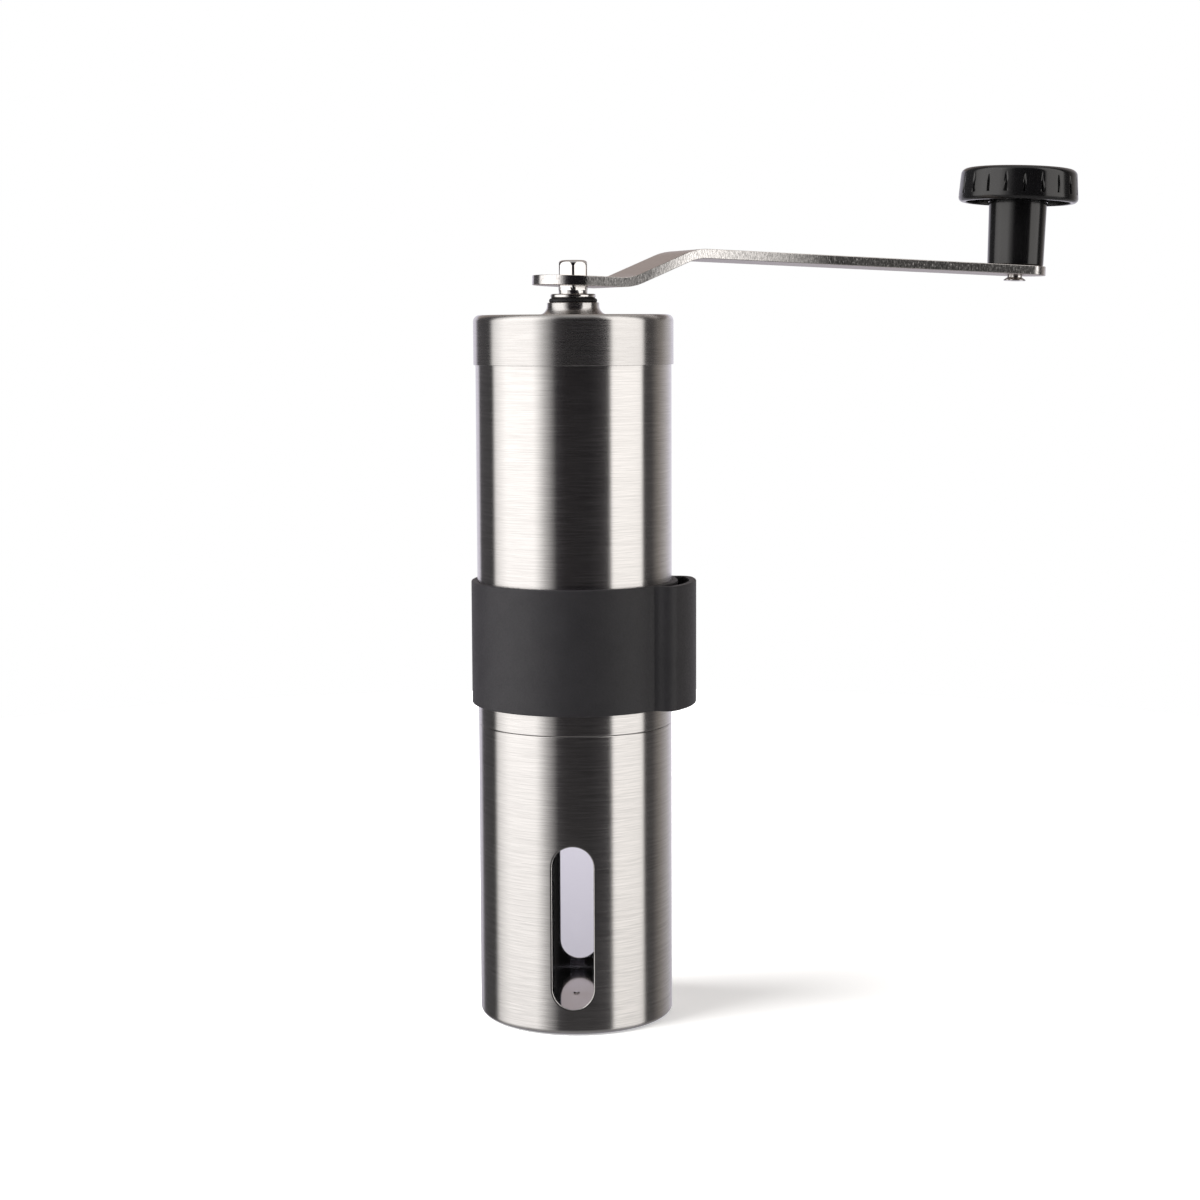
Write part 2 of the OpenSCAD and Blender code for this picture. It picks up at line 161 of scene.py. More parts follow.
def grown(name, outlines, z0, z1, edge):
    """Extrudes closed plan outlines from z0 to z1 with rounded edges: the outside first, then the holes."""
    curve = bpy.data.curves.new(name, "CURVE")
    curve.dimensions = "2D"
    curve.fill_mode = "BOTH"
    curve.extrude = (z1 - z0) / 2 - edge
    curve.bevel_depth = edge
    curve.bevel_resolution = 3
    curve.offset = -edge
    for points in outlines:
        spline = curve.splines.new("POLY")
        spline.points.add(len(points) - 1)
        for p, (x, y) in zip(spline.points, points):
            p.co = (x, y, 0, 1)
        spline.use_cyclic_u = True
    shape = bpy.data.objects.new(name + "_outline", curve)
    bpy.context.scene.collection.objects.link(shape)
    graph = bpy.context.evaluated_depsgraph_get()
    mesh = bpy.data.meshes.new_from_object(shape.evaluated_get(graph))
    bpy.data.objects.remove(shape)
    bpy.data.curves.remove(curve)
    mesh.transform(Matrix.Translation((0, 0, (z0 + z1) / 2)))
    mesh.materials.clear()
    obj = bpy.data.objects.new(name, mesh)
    bpy.context.scene.collection.objects.link(obj)
    tidy_mesh(obj)
    return obj


def dress(obj, material, slot, body, *nodes):
    """Gives a new piece its material, puts it on its body and lets it stand for CAD nodes; slot is not used.
    """
    obj.data.materials.append(material)
    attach(obj, body)
    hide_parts(*nodes)
    return obj


# ---------------------------------------------------------------- material helpers

class Nodes:
    """A short way to write a node tree."""

    def __init__(self, tree):
        self.tree = tree

    def add(self, kind, inputs=None, **settings):
        """A new node: inputs are linked if they are sockets and set if they are values."""
        node = self.tree.nodes.new(kind)
        for key, value in settings.items():
            setattr(node, key, value)
        for key, value in (inputs or {}).items():
            if isinstance(value, bpy.types.NodeSocket):
                self.tree.links.new(value, node.inputs[key])
            else:
                node.inputs[key].default_value = value
        return node

    def math(self, operation, a, b=0.0):
        return self.add("ShaderNodeMath", {0: a, 1: b}, operation=operation).outputs[0]

    def noise(self, vector, scale, detail=3.0, rough=0.5):
        inputs = {"Vector": vector, "Scale": scale, "Detail": detail, "Roughness": rough}
        node = self.add("ShaderNodeTexNoise", inputs)
        return node.outputs["Fac"]

    def span(self, value, low_in, high_in, low_out, high_out):
        """A value carried from one range to another, and held at its ends."""
        ends = {"From Min": low_in, "From Max": high_in, "To Min": low_out, "To Max": high_out}
        return self.add("ShaderNodeMapRange", {"Value": value, **ends}).outputs["Result"]

    def ramp(self, value, stops):
        """A colour that runs through stops of (place, colour)."""
        node = self.add("ShaderNodeValToRGB", {"Fac": value})
        ramp = node.color_ramp
        while len(ramp.elements) < len(stops):
            ramp.elements.new(1.0)
        for element, (place, colour) in zip(ramp.elements, stops):
            element.position = place
            element.color = (*colour, 1)
        return node.outputs["Color"]

    def blend(self, factor, a, b):
        """A colour that goes from a to b."""
        node = self.add("ShaderNodeMix", {"Factor": factor}, data_type="RGBA")
        for index, value in ((6, a), (7, b)):
            if isinstance(value, bpy.types.NodeSocket):
                self.tree.links.new(value, node.inputs[index])
            else:
                node.inputs[index].default_value = (*value, 1)
        return node.outputs[2]

    def mix(self, factor, a, b):
        """A number that goes from a to b."""
        return self.add("ShaderNodeMix", {0: factor, 2: a, 3: b}).outputs[0]

    def radius(self):
        """Distance from the object's own Z axis."""
        place = self.add("ShaderNodeTexCoord").outputs["Object"]
        flat = self.add("ShaderNodeVectorMath", {0: place, 1: (1, 1, 0)}, operation="MULTIPLY").outputs[0]
        return self.add("ShaderNodeVectorMath", {0: flat}, operation="LENGTH").outputs["Value"]

    def stretched(self, x, y, z):
        """Object coordinates, scaled along each axis."""
        place = self.add("ShaderNodeTexCoord").outputs["Object"]
        return self.add("ShaderNodeVectorMath", {0: place, 1: (x, y, z)}, operation="MULTIPLY").outputs[0]

    def along(self, vector, direction):
        """How far a vector goes along a direction."""
        node = self.add("ShaderNodeVectorMath", {0: vector, 1: tuple(direction)}, operation="DOT_PRODUCT")
        return node.outputs["Value"]

    def shades(self, value, tone, stops):
        """A ramp over value through shades of a warm grey: each stop is (place, factor of the tone)."""
        warm = (1.0, 0.98, 0.965)
        return self.ramp(value, [(place, tuple(tone * factor * w for w in warm)) for place, factor in stops])

    def bump(self, height, strength, distance):
        node = self.add("ShaderNodeBump", {"Height": height, "Strength": strength, "Distance": distance})
        return node.outputs["Normal"]


def material(name):
    """A new material: its node helper and its Principled shader."""
    made = bpy.data.materials.new(name)
    made.use_nodes = True
    n = Nodes(made.node_tree)
    return made, n, made.node_tree.nodes["Principled BSDF"]


def put(n, shader, **values):
    """Sets sockets of the shader by name, with spaces written as underscores."""
    for key, value in values.items():
        socket = shader.inputs[key.replace("_", " ")]
        if isinstance(value, bpy.types.NodeSocket):
            n.tree.links.new(value, socket)
        else:
            socket.default_value = value


# Paler, lavender steel colour for the inside: painted light standing in for the lavender light that comes in
# through the windows.
INSIDE_PAINTED_LIGHT_TINT = (0.66, 0.66, 0.71)


def brushed_steel(name, tone=0.62, rough=0.22, bright_inside=True):
    """Stainless steel brushed round the tube: fine level lines outside, and smooth drawn steel inside, its
    paler lavender colour painted light.
    """
    made, n, shader = material(name)
    fine = n.noise(n.stretched(120, 120, 5600), 1.0, 3.0, 0.65)
    line = n.noise(n.stretched(38, 38, 3000), 1.0, 2.0, 0.5)
    cloud = n.noise(n.stretched(45, 45, 45), 1.0, 2.0)
    grain = n.math("ADD", n.math("MULTIPLY", fine, 0.75), n.math("MULTIPLY", line, 0.25))
    outside = n.span(n.radius(), BODY_R - 0.45 * MM, BODY_R - 0.15 * MM, 0.0 if bright_inside else 1.0, 1.0)
    tint = n.shades(grain, tone, [(0.36, 0.85), (0.64, 1.10)])
    worn = n.span(grain, 0.3, 0.7, rough - 0.03, rough + 0.04)
    worn = n.math("ADD", worn, n.span(cloud, 0.3, 0.7, -0.01, 0.015))
    level = n.span(n.along(n.add("ShaderNodeTexCoord").outputs["Normal"], (0, 0, 1)), 0.5, 0.9, 0.0, 1.0)
    inside = n.math("ADD", n.mix(level, 0.14, 0.04), n.span(cloud, 0.3, 0.7, 0.0, 0.04))
    roughness = n.mix(outside, inside, worn)
    tangent = n.add("ShaderNodeTangent", direction_type="RADIAL", axis="Z").outputs[0]
    height = n.math("MULTIPLY", grain, outside)
    put(n, shader, Base_Color=n.blend(outside, INSIDE_PAINTED_LIGHT_TINT, tint), Metallic=1.0, Roughness=roughness,
        Anisotropic=0.97, Anisotropic_Rotation=0.25, Tangent=tangent, Normal=n.bump(height, 0.08, 0.00002))
    return made


def polished_steel(name, tone=0.66, rough=0.10):
    """Turned and polished steel with faint turning marks."""
    made, n, shader = material(name)
    marks = n.noise(n.stretched(200, 200, 5000), 1.0, 2.0)
    tint = n.shades(marks, tone, [(0.3, 0.93), (0.7, 1.04)])
    worn = n.span(marks, 0.3, 0.7, rough - 0.03, rough + 0.06)
    put(n, shader, Base_Color=tint, Metallic=1.0, Roughness=worn,
        Normal=n.bump(marks, 0.15, 0.00004))
    return made


def bar_steel(name):
    """The crank's flat bar: satin faces, and blanked, torn edges, bright at the bend and dark beyond: painted
    light and painted shade along the arm.
    """
    made, n, shader = material(name)
    place = n.add("ShaderNodeTexCoord").outputs
    edge = n.span(n.math("ABSOLUTE", n.along(place["Normal"], KNOB_AXIS)), 0.35, 0.6, 1.0, 0.0)
    side = (math.sin(ARM_ANGLE), -math.cos(ARM_ANGLE), 0)
    straight = n.span(n.math("ABSOLUTE", n.along(place["Normal"], side)), 0.975, 0.995, 0.0, 1.0)
    reach = n.along(place["Object"], (math.cos(ARM_ANGLE), math.sin(ARM_ANGLE), 0))
    # worn is no wear here: it is a painted shade mask along the arm, dark near the hub and out towards the
    # knob, with painted light over the bend.
    worn = n.math("ADD", n.span(reach, 30 * MM, 66 * MM, 0.0, 1.0), n.span(reach, 16 * MM, 27 * MM, 0.8, 0.0))
    satin = n.noise(n.stretched(900, 900, 900), 1.0, 3.0)
    torn = n.noise(n.stretched(3800, 3800, 1300), 1.0, 3.0, 0.7)
    # Torn-edge tints: a brighter one for the painted light at the bend, and a very dark one for the painted
    # shade beyond it.
    torn_tint_painted_light = n.shades(torn, 1.0, [(0.36, 0.40), (0.52, 0.72), (0.66, 0.92)])
    torn_tint_painted_shade = n.shades(torn, 1.0, [(0.42, 0.02), (0.60, 0.06), (0.74, 0.40)])
    torn_tint_painted_light_and_shade = n.blend(worn, torn_tint_painted_light, torn_tint_painted_shade)
    face_tint = n.ramp(satin, [(0.3, (0.53, 0.48, 0.45)), (0.7, (0.59, 0.54, 0.50))])
    end_tint = n.ramp(torn, [(0.36, (0.48, 0.47, 0.46)), (0.60, (0.80, 0.78, 0.77))])
    edge_tint = n.blend(straight, end_tint, torn_tint_painted_light_and_shade)
    height = n.math("MULTIPLY", torn, n.math("MULTIPLY", edge, straight))
    height = n.math("ADD", height, n.math("MULTIPLY", satin, 0.05))
    put(n, shader, Base_Color=n.blend(edge, face_tint, edge_tint), Metallic=1.0,
        Roughness=n.mix(edge, 0.34, 0.17), Normal=n.bump(height, 0.30, 0.00008))
    return made


def soft_rubber(name, tone=0.011):
    """Matt black rubber with a faint skin and a little dust."""
    made, n, shader = material(name)
    skin = n.noise(n.stretched(2200, 2200, 2200), 1.0, 3.0)
    dust = n.noise(n.stretched(160, 160, 160), 1.0, 4.0, 0.6)
    clean = (tone, tone * 0.94, tone * 1.12)
    dusty = (tone * 1.3, tone * 1.22, tone * 1.42)
    tint = n.ramp(dust, [(0.35, clean), (0.75, dusty)])
    put(n, shader, Base_Color=tint, Roughness=n.span(skin, 0.3, 0.7, 0.50, 0.62), Specular_IOR_Level=0.45,
        Normal=n.bump(skin, 0.25, 0.00008))
    return made


def gloss_plastic(name, tone=0.003):
    """Glossy black moulding with faint waviness."""
    made, n, shader = material(name)
    wave = n.noise(n.stretched(350, 350, 350), 1.0, 2.0)
    speck = n.noise(n.stretched(3500, 3500, 3500), 1.0, 2.0)
    tint = n.ramp(speck, [(0.3, (tone, tone, tone * 1.1)), (0.8, (tone * 1.7, tone * 1.65, tone * 1.7))])
    height = n.math("ADD", n.math("MULTIPLY", wave, 0.5), n.math("MULTIPLY", speck, 0.25))
    put(n, shader, Base_Color=tint, Roughness=n.span(speck, 0.3, 0.7, 0.10, 0.20), IOR=1.53,
        Normal=n.bump(height, 0.10, 0.0001))
    return made


def matt_plastic(name, colour=(0.022, 0.022, 0.024), rough=0.45):
    """Moulded plastic with a fine spark-eroded texture."""
    made, n, shader = material(name)
    pits = n.noise(n.stretched(2800, 2800, 2800), 1.0, 3.0, 0.6)
    dark = tuple(c * 0.85 for c in colour)
    light = tuple(c * 1.25 for c in colour)
    put(n, shader, Base_Color=n.ramp(pits, [(0.3, dark), (0.7, light)]),
        Roughness=n.span(pits, 0.3, 0.7, rough - 0.06, rough + 0.08), Normal=n.bump(pits, 0.3, 0.00008))
    return made


def fired_ceramic(name):
    """Unglazed off-white ceramic with a few darker grains."""
    made, n, shader = material(name)
    grain = n.noise(n.stretched(1800, 1800, 1800), 1.0, 4.0, 0.7)
    tint = n.ramp(grain, [(0.25, (0.58, 0.55, 0.49)), (0.42, (0.78, 0.75, 0.69)), (0.75, (0.86, 0.84, 0.79))])
    put(n, shader, Base_Color=tint, Roughness=n.span(grain, 0.3, 0.7, 0.42, 0.58),
        Normal=n.bump(grain, 0.3, 0.0001))
    return made


def turned_brass(name):
    """Turned brass with fine marks."""
    made, n, shader = material(name)
    marks = n.noise(n.stretched(300, 300, 5200), 1.0, 2.0)
    tint = n.ramp(marks, [(0.3, (0.62, 0.44, 0.17)), (0.7, (0.78, 0.58, 0.27))])
    put(n, shader, Base_Color=tint, Metallic=1.0, Roughness=n.span(marks, 0.3, 0.7, 0.2, 0.34),
        Normal=n.bump(marks, 0.2, 0.00004))
    return made


def clear_plastic(name):
    """The clear sleeve behind the windows, with the faint haze of use."""
    made, n, shader = material(name)
    haze = n.noise(n.stretched(500, 500, 500), 1.0, 4.0, 0.6)
    put(n, shader, Base_Color=n.ramp(haze, [(0.3, (0.985, 0.98, 0.99)), (0.7, (0.998, 0.996, 1.0))]),
        Roughness=n.span(haze, 0.4, 0.8, 0.0, 0.06), Transmission_Weight=1.0, IOR=1.35)
    return made


# ---------------------------------------------------------------- the cup

def slot_point(u, grow):
    """A point (across, up) on the window's outline, pushed out by grow.

    u runs once round, clockwise from the middle of the top.
    """
    r = WINDOW_W / 2 + grow
    straight = WINDOW_HIGH - WINDOW_LOW - WINDOW_W
    lengths = [math.pi / 2 * r, straight, math.pi * r, straight, math.pi / 2 * r]
    s = (u % 1.0) * sum(lengths)
    top = WINDOW_HIGH - WINDOW_W / 2
    bottom = WINDOW_LOW + WINDOW_W / 2
    if s < lengths[0]:
        a = math.pi / 2 - s / r
        return (r * math.cos(a), top + r * math.sin(a))
    s -= lengths[0]
    if s < lengths[1]:
        return (r, top - s)
    s -= lengths[1]
    if s < lengths[2]:
        a = -s / r
        return (r * math.cos(a), bottom + r * math.sin(a))
    s -= lengths[2]
    if s < lengths[3]:
        return (-r, bottom + s)
    s -= lengths[3]
    a = math.pi - s / r
    return (r * math.cos(a), top + r * math.sin(a))


def patch_border(across, up):
    """Corners of cells round a patch of the wall, as (column, row), clockwise from the middle of its top."""
    half = across // 2
    points = [(half + i, up) for i in range(half)]
    points += [(across, up - i) for i in range(up)]
    points += [(across - i, 0) for i in range(across)]
    points += [(0, i) for i in range(up)]
    points += [(i, up) for i in range(half)]
    return points


class RoundMesh:
    """Points and faces round the Z axis, where points that meet are one point."""

    def __init__(self, columns):
        self.columns = columns
        self.verts = []
        self.faces = []
        self.found = {}

    def angle(self, column):
        return TAU * column / self.columns

    def point(self, r, a, z):
        """The index of the point at radius r, angle a and height z."""
        key = (round(r * 1e7), round(math.cos(a) * 1e6), round(math.sin(a) * 1e6), round(z * 1e7))
        if key not in self.found:
            self.found[key] = len(self.verts)
            self.verts.append((r * math.cos(a), r * math.sin(a), z))
        return self.found[key]

    def turn(self, profile):
        """Turns an open outline of (radius, height) points once round."""
        for c in range(self.columns):
            a, b = self.angle(c), self.angle(c + 1)
            for (r0, z0), (r1, z1) in zip(profile, profile[1:]):
                corners = [self.point(r0, a, z0), self.point(r0, b, z0)]
                corners += [self.point(r1, b, z1), self.point(r1, a, z1)]
                corners = list(dict.fromkeys(corners))
                if len(corners) > 2:
                    self.faces.append(corners)

    def band(self, one, two):
        """Faces between two closed rings of points."""
        for q in range(len(one)):
            p = (q + 1) % len(one)
            self.faces.append([one[q], one[p], two[p], two[q]])


CUP_IN = BODY_R - WALL
PATCH_LOW = 4.2 * MM
PATCH_HIGH = 49.2 * MM
PATCH_ROWS = 36
PATCH_HALF = 12
WINDOW_RIM = 0.20 * MM
WINDOW_RINGS = (0.2, 0.42, 0.62, 0.8, 0.92)
WINDOW_MIDDLES = (TAU / 4, 3 * TAU / 4)


def cup_mouth():
    """Outline of the cup above the windows: up the outside, over the rounded lip and down the inside."""
    lip = 0.25 * MM
    inner_lip = 0.1 * MM
    outline = [(BODY_R, PATCH_HIGH), (BODY_R, CUP_H - lip)]
    outline += arc(BODY_R - lip, CUP_H - lip, lip, 0, 90, 4)[1:]
    return outline + [(CUP_IN + inner_lip, CUP_H), (CUP_IN, CUP_H - inner_lip), (CUP_IN, PATCH_HIGH)]


def cup_inside():
    """Outline of the cup's inside below the windows: wall, trough, raised floor and its middle pip."""
    pip_top = FLOOR_Z + 0.35 * MM
    outline = [(CUP_IN, PATCH_LOW), (CUP_IN, FOOT_R)]
    outline += arc(BODY_R - FOOT_R, FOOT_R, FOOT_R - WALL, 0, -90, 8)[1:]
    outline += [(RING_R + WALL, WALL), (RING_R + WALL, FLOOR_Z - WALL)]
    outline += arc(RING_R, FLOOR_Z - WALL, WALL, 0, 90, 5)[1:]
    return outline + [(0.95 * MM, FLOOR_Z), (0.7 * MM, pip_top - 0.1 * MM), (0.3 * MM, pip_top), (0, pip_top)]


def cup_under():
    """Outline of the cup's underside: raised floor, foot ring and the rounded foot."""
    soft = 0.3 * MM
    outline = [(0, FLOOR_Z - WALL), (RING_R - soft, FLOOR_Z - WALL), (RING_R, FLOOR_Z - WALL - soft)]
    outline += [(RING_R, soft), (RING_R + soft, 0)]
    return outline + arc(BODY_R - FOOT_R, FOOT_R, FOOT_R, -90, 0, 10) + [(BODY_R, PATCH_LOW)]


def plain_wall(cup):
    """The cup's wall between its windows, outside and inside."""
    step = (PATCH_HIGH - PATCH_LOW) / PATCH_ROWS
    for c in range(cup.columns):
        a, b = cup.angle(c), cup.angle(c + 1)
        if min(abs((a + b) / 2 - middle) for middle in WINDOW_MIDDLES) < cup.angle(PATCH_HALF):
            continue
        for r in (BODY_R, CUP_IN):
            for k in range(PATCH_ROWS):
                z0, z1 = PATCH_LOW + k * step, PATCH_LOW + (k + 1) * step
                corners = [cup.point(r, a, z0), cup.point(r, b, z0)]
                cup.faces.append(corners + [cup.point(r, b, z1), cup.point(r, a, z1)])


def window_side(cup, centre, r, inwards):
    """Rings of faces from a patch's border in to a window's rounded rim, on one side of the wall."""
    step = (PATCH_HIGH - PATCH_LOW) / PATCH_ROWS
    cells = patch_border(2 * PATCH_HALF, PATCH_ROWS)
    border = [(cup.angle(i - PATCH_HALF), PATCH_LOW + j * step) for i, j in cells]
    count = len(border)
    rings = [[cup.point(r, centre + x, z) for x, z in border]]
    for t in WINDOW_RINGS:
        ring = []
        for q, (x0, z0) in enumerate(border):
            x1, z1 = slot_point(q / count, WINDOW_RIM)
            ring.append(cup.point(r, centre + x0 + (x1 / BODY_R - x0) * t, z0 + (z1 - z0) * t))
        rings.append(ring)
    for grow, sink in ((1.0, 0.0), (0.35, 0.25), (0.0, 1.0)):
        outline = [slot_point(q / count, WINDOW_RIM * grow) for q in range(count)]
        depth = r + inwards * WINDOW_RIM * sink
        rings.append([cup.point(depth, centre + x / BODY_R, z) for x, z in outline])
    for one, two in zip(rings, rings[1:]):
        cup.band(one, two)
    return rings[-1]


def cup_wall():
    """The cup: a drawn shell whose two windows are cut through with clean rings of faces round them."""
    cup = RoundMesh(192)
    for outline in (cup_mouth(), cup_inside(), cup_under()):
        cup.turn(outline)
    plain_wall(cup)
    for centre in WINDOW_MIDDLES:
        outer_rim = window_side(cup, centre, BODY_R, -1)
        inner_rim = window_side(cup, centre, CUP_IN, 1)
        cup.band(outer_rim, inner_rim)
    return mesh_object("cup_wall", cup.verts, cup.faces, 50)


def clear_sleeve():
    """The clear sleeve behind the windows: a plain turned tube with broken edges."""
    inner = 22.3 * MM
    outer = CUP_IN - 0.1 * MM
    z0, z1 = low("window_liner").z, high("window_liner").z
    edge = 0.15 * MM
    profile = [(inner + edge, z0), (outer - edge, z0), (outer, z0 + edge), (outer, z1 - edge)]
    profile += [(outer - edge, z1), (inner + edge, z1), (inner, z1 - edge), (inner, z0 + edge)]
    return lathe("clear_sleeve", profile)


# ---------------------------------------------------------------- tube, lid and band

def tube_skin():
    inner = BODY_R - WALL
    low_edge = 0.25 * MM
    top_edge = 0.15 * MM
    profile = arc(BODY_R - low_edge, TUBE_LOW + low_edge, low_edge, -90, 0, 4)
    profile += arc(BODY_R - top_edge, TUBE_TOP - top_edge, top_edge, 0, 90, 3)
    profile += [(inner + 0.1 * MM, TUBE_TOP), (inner, TUBE_TOP - 0.1 * MM), (inner, TUBE_LOW)]
    return lathe("tube_skin", profile)


def lid_skin():
    """Pressed lid: skirt, round shoulder, flat top that sweeps up into the neck."""
    skin = 0.45 * MM
    edge = 1.6 * MM
    flare = 2.3 * MM
    inner = BODY_R + 0.05 * MM
    lip = 0.08 * MM
    profile = [(inner, LID_LOW + 0.1 * MM), (inner + 0.1 * MM, LID_LOW), (LID_R - lip, LID_LOW)]
    profile += arc(LID_R - lip, LID_LOW + lip, lip, -90, 0, 3)[1:]
    profile += arc(LID_R - edge, LID_TOP - edge, edge, 0, 90, 12)
    profile += arc(NECK_R + flare, LID_TOP + flare, flare, -90, -180, 12)
    profile += [(NECK_R, NECK_TOP - 0.12 * MM), (NECK_R - 0.12 * MM, NECK_TOP)]
    profile += [(NECK_IN + 0.08 * MM, NECK_TOP), (NECK_IN, NECK_TOP - 0.08 * MM)]
    profile += [(NECK_IN, LID_TOP - skin + 0.1 * MM), (NECK_IN + 0.1 * MM, LID_TOP - skin)]
    profile += [(NECK_R + flare, LID_TOP - skin)]
    profile += arc(LID_R - edge, LID_TOP - edge, edge - skin, 90, 0, 8)
    return lathe("lid_skin", profile)


def loop_outline(inset):
    """Half of the crank loop in plan, moved in by inset: spread leg, round corner and half the face."""
    corner_y = LOOP_W / 2 - LOOP_CORNER
    far = LOOP_FACE - LOOP_CORNER
    face_x = LOOP_OUT - LOOP_FACE
    corner_x = face_x + math.sqrt(far * far - corner_y * corner_y)
    turn = math.degrees(math.asin(corner_y / far))
    near = arc(corner_x, -corner_y, LOOP_CORNER - inset, -90 - LOOP_SPREAD, -turn, 12)
    return near + arc(face_x, 0, LOOP_FACE - inset, -turn, 0, 16)[1:]


def mirrored(points):
    return points + [(x, -y) for x, y in reversed(points[:-1])]


def leg_foot(start, radius):
    """Where the loop's leg, carried on inwards from its start, meets a circle round the tube."""
    dx, dy = -math.cos(math.radians(LOOP_SPREAD)), math.sin(math.radians(LOOP_SPREAD))
    along = start[0] * dx + start[1] * dy
    reach = -along - math.sqrt(along * along - start[0] ** 2 - start[1] ** 2 + radius * radius)
    return (start[0] + reach * dx, start[1] + reach * dy)


def turned_plan(points, angle):
    c, s = math.cos(angle), math.sin(angle)
    return [(x * c - y * s, x * s + y * c) for x, y in points]


def band_piece():
    """The rubber band in one piece with its loop: soft edges, and small fillets where the loop joins."""
    outer = loop_outline(0.0)
    foot = leg_foot(outer[0], BAND_R)
    start = math.degrees(math.atan2(-foot[1], foot[0]))
    fillet = 2.5
    ring = arc(0, 0, BAND_R, start + fillet, 360 - start - fillet, 150)
    into = leg_foot(outer[0], BAND_R + 0.9 * MM)
    middle = [(a + b) / 2 for a, b in zip(ring[-1], into)]
    hollow = tuple(m * 0.55 + f * 0.45 for m, f in zip(middle, foot))
    near = [hollow, into] + outer
    outline = ring + mirrored(near)
    inner = loop_outline(LOOP_T)
    crease = leg_foot(inner[0], BAND_R)
    inside = math.degrees(math.atan2(-crease[1], crease[0])) - 1.0
    hole = arc(0, 0, BAND_R, inside, -inside, 40)
    hole += mirrored([leg_foot(inner[0], BAND_R + 0.4 * MM)] + inner)
    outlines = [outline, hole, arc(0, 0, BODY_R, 0, 360, 180)[:-1]]
    outlines = [turned_plan(points, LOOP_ANGLE) for points in outlines]
    return grown("rubber_band", outlines, BAND_LOW, BAND_HIGH, 0.3 * MM)


# ---------------------------------------------------------------- the crank

ARM_LEN = 125.8 * MM
ARM_RISE = 7.8 * MM
HUB_R = 10.0 * MM
END_R = 8.0 * MM
BEND_LOW = 11.7 * MM
BEND_HIGH = 28.8 * MM
FOLD_LOW = 12.0 * MM
FOLD_HIGH = 13.0 * MM
SLOPE = math.atan2(ARM_RISE, BEND_HIGH - BEND_LOW)
HEX_ANGLE = 32
HEX_HOLE_R = (6.85 / 2 + 0.05) * MM / math.cos(math.radians(30))


def bar_middle(x):
    """Height and angle of the bar's middle line at x along it: level, climb and level, with round bends."""
    low_turn = FOLD_LOW * math.tan(SLOPE / 2)
    high_turn = FOLD_HIGH * math.tan(SLOPE / 2)
    if x < BEND_LOW - low_turn:
        return 0.0, 0.0
    if x < BEND_LOW + low_turn * math.cos(SLOPE):
        angle = math.asin((x - BEND_LOW + low_turn) / FOLD_LOW)
        return FOLD_LOW * (1 - math.cos(angle)), angle
    if x < BEND_HIGH - high_turn * math.cos(SLOPE):
        return (x - BEND_LOW) * math.tan(SLOPE), SLOPE
    if x < BEND_HIGH + high_turn:
        angle = math.asin((BEND_HIGH + high_turn - x) / FOLD_HIGH)
        return ARM_RISE - FOLD_HIGH * (1 - math.cos(angle)), angle
    return ARM_RISE, 0.0


def bar_outline():
    """One side of the bar in plan, as (x, half width), from the tip at the hub to the tip at the knob."""
    tangent = 90 - math.degrees(math.asin((HUB_R - END_R) / ARM_LEN))
    hub = arc(0, 0, HUB_R, 180, tangent, 40)
    end = arc(ARM_LEN, 0, END_R, tangent, 0, 40)
    (x0, y0), (x1, y1) = hub[-1], end[0]
    count = 110
    shares = [i / count for i in range(1, count)]
    return hub + [(x0 + (x1 - x0) * t, y0 + (y1 - y0) * t) for t in shares] + end


def outward(points, i):
    """The plan direction square to the outline at its point i."""
    if i == 0:
        return (-1.0, 0.0)
    if i == len(points) - 1:
        return (1.0, 0.0)
    dx, dy = points[i + 1][0] - points[i - 1][0], points[i + 1][1] - points[i - 1][1]
    length = math.hypot(dx, dy)
    return (-dy / length, dx / length)


def cut_hexagon(piece):
    """Cuts the upright hexagon hole through the bar's hub."""
    corners = [math.radians(HEX_ANGLE + 60 * i) for i in range(6)]
    ends = (low("crank_arm").z - HUB_R, low("crank_arm").z + HUB_R)
    verts = [(HEX_HOLE_R * math.cos(a), HEX_HOLE_R * math.sin(a), z) for z in ends for a in corners]
    faces = [[5, 4, 3, 2, 1, 0], [6, 7, 8, 9, 10, 11]]
    faces += [[i, (i + 1) % 6, (i + 1) % 6 + 6, i + 6] for i in range(6)]
    cutter = mesh_object("hexagon_cutter", verts, faces)
    piece.modifiers.clear()
    hole = piece.modifiers.new("hole", "BOOLEAN")
    hole.operation = "DIFFERENCE"
    hole.solver = "EXACT"
    hole.object = cutter
    graph = bpy.context.evaluated_depsgraph_get()
    cut = bpy.data.meshes.new_from_object(piece.evaluated_get(graph))
    piece.modifiers.clear()
    piece.data = cut
    bpy.data.objects.remove(cutter)
    tidy_mesh(piece)


